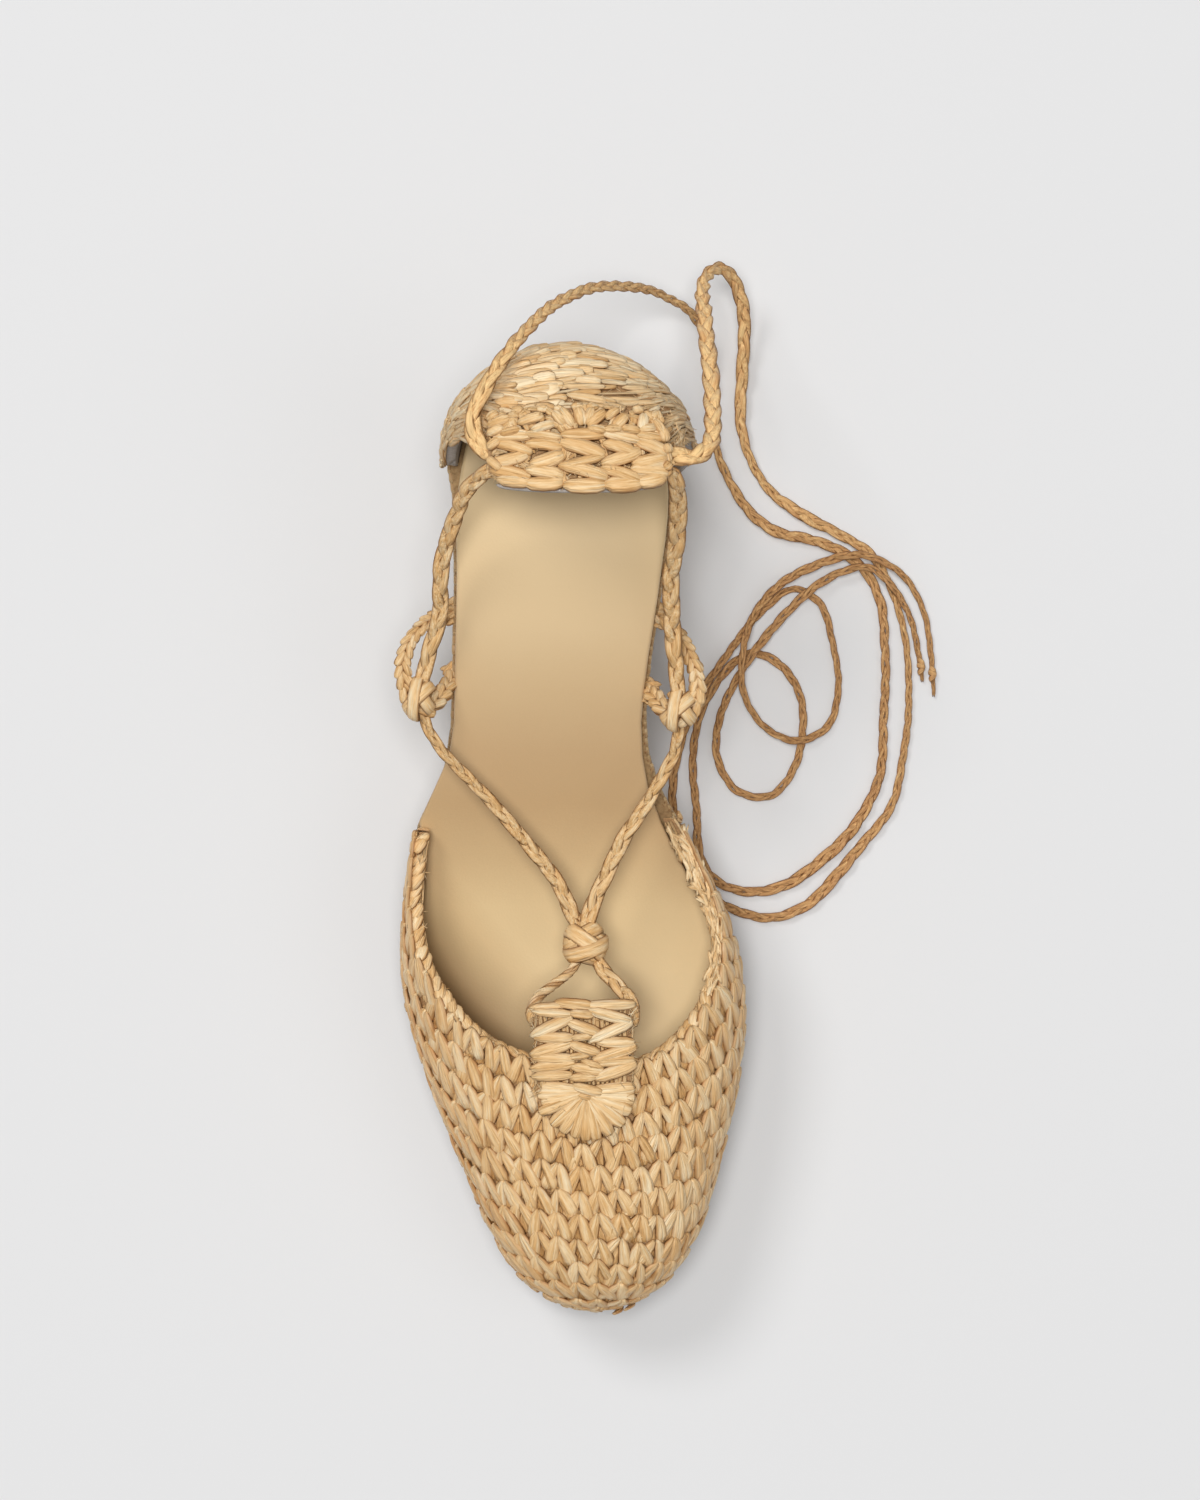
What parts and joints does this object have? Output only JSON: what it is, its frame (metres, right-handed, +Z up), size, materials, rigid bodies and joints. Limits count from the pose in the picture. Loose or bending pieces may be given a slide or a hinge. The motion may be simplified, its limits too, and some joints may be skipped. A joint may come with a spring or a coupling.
{
  "type": "wedge espadrille",
  "caption": "Right-foot wedge espadrille: hollow crocheted raffia toe and heel cup on a jute wedge, tied by a braided lace through side loops, with loose lace ends beside it.",
  "frame": {"origin": "centre of the shoe's bounding box seen from above, without its free lace ends, on the plane that the tread stands on", "axes": "+Y along the shoe towards the heel, +X towards the inner side of the foot, +Z up"},
  "size_m": [0.1352, 0.2624, 0.1106],
  "materials": {
    "raffia": "natural straw with a soft sheen",
    "footbed_leather": "smooth natural leather",
    "jute": "matte braided jute",
    "rubber": "matte gum rubber"
  },
  "bodies": {
    "root": {"outsole": "rubber", "wedge": "jute", "footbed": "footbed_leather", "vamp": "raffia", "heel_counter": "raffia", "heel_band": "raffia", "tongue": "raffia", "side_loop_lateral": "raffia", "side_loop_medial": "raffia", "lace_front": "raffia", "lace_rear_lateral": "raffia", "lace_rear_medial": "raffia", "lace_tail_lateral": "raffia", "lace_tail_medial": "raffia"}
  },
  "joints": []
}
